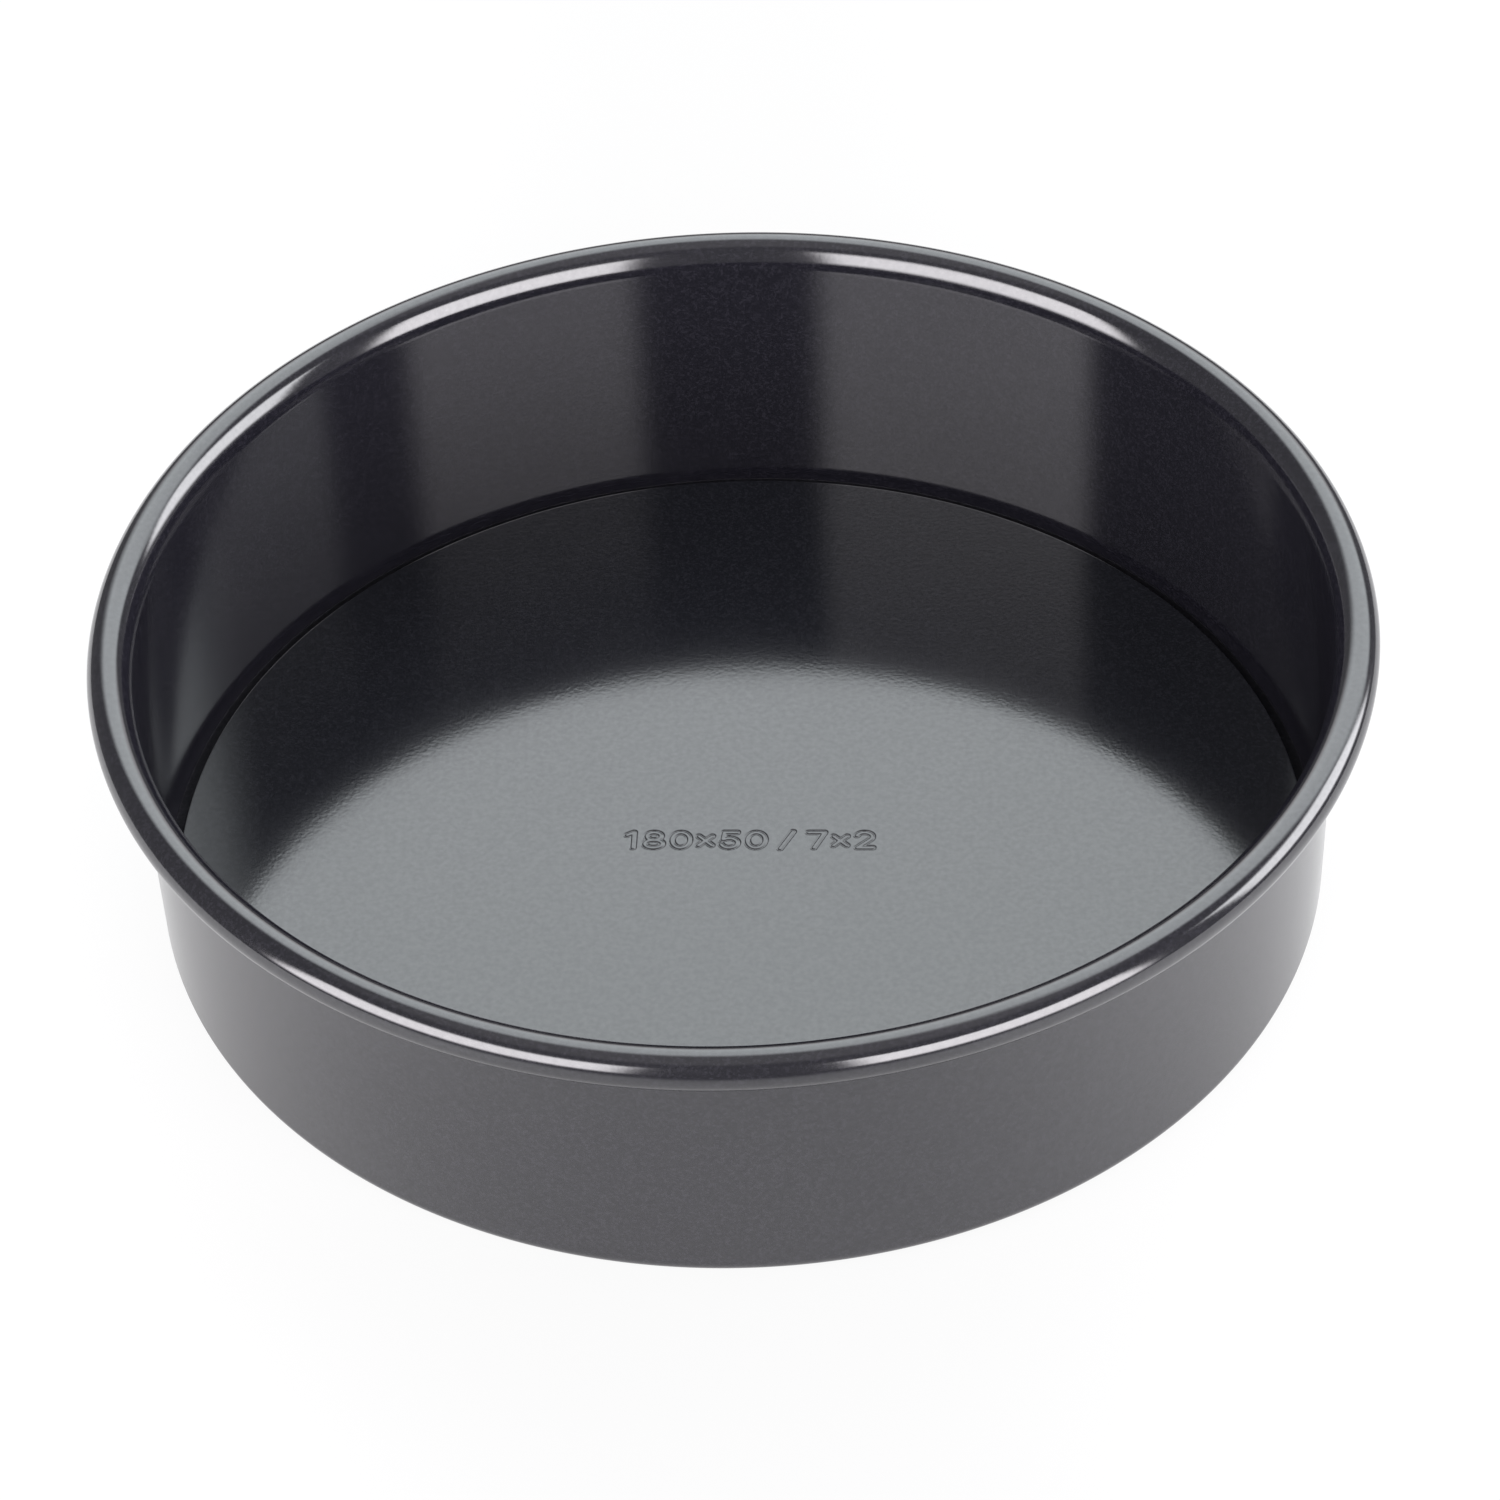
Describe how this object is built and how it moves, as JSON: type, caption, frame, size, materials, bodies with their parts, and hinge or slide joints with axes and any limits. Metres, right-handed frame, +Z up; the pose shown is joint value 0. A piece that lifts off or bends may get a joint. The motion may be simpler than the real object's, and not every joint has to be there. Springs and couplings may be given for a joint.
{
  "type": "loose-base round cake tin",
  "caption": "Round non-stick cake tin: straight drawn side with a rolled rim and an inward ledge, and a flat loose base that lifts out.",
  "frame": {"origin": "centre of the plane that the tin stands on, on the tin's middle line", "axes": "+Z up along the tin's middle line, the way the loose base lifts out; X and Y lie in the resting plane, and +Y points away from the viewer of the reference picture"},
  "size_m": [0.195, 0.195, 0.0492],
  "materials": {
    "ring_coating": "dark charcoal non-stick coating on steel, smooth semi-gloss with a very fine metallic fleck",
    "base_coating": "the same dark charcoal non-stick coating, semi-gloss with a very fine grain"
  },
  "bodies": {
    "ring": {"tin_ring": "ring_coating"},
    "base": {"loose_base": "base_coating"}
  },
  "joints": [
    {"name": "base_lift", "type": "slide", "parent": "ring", "child": "base", "axis": [0, 0, 1], "range_m": [0, 0.06]}
  ]
}
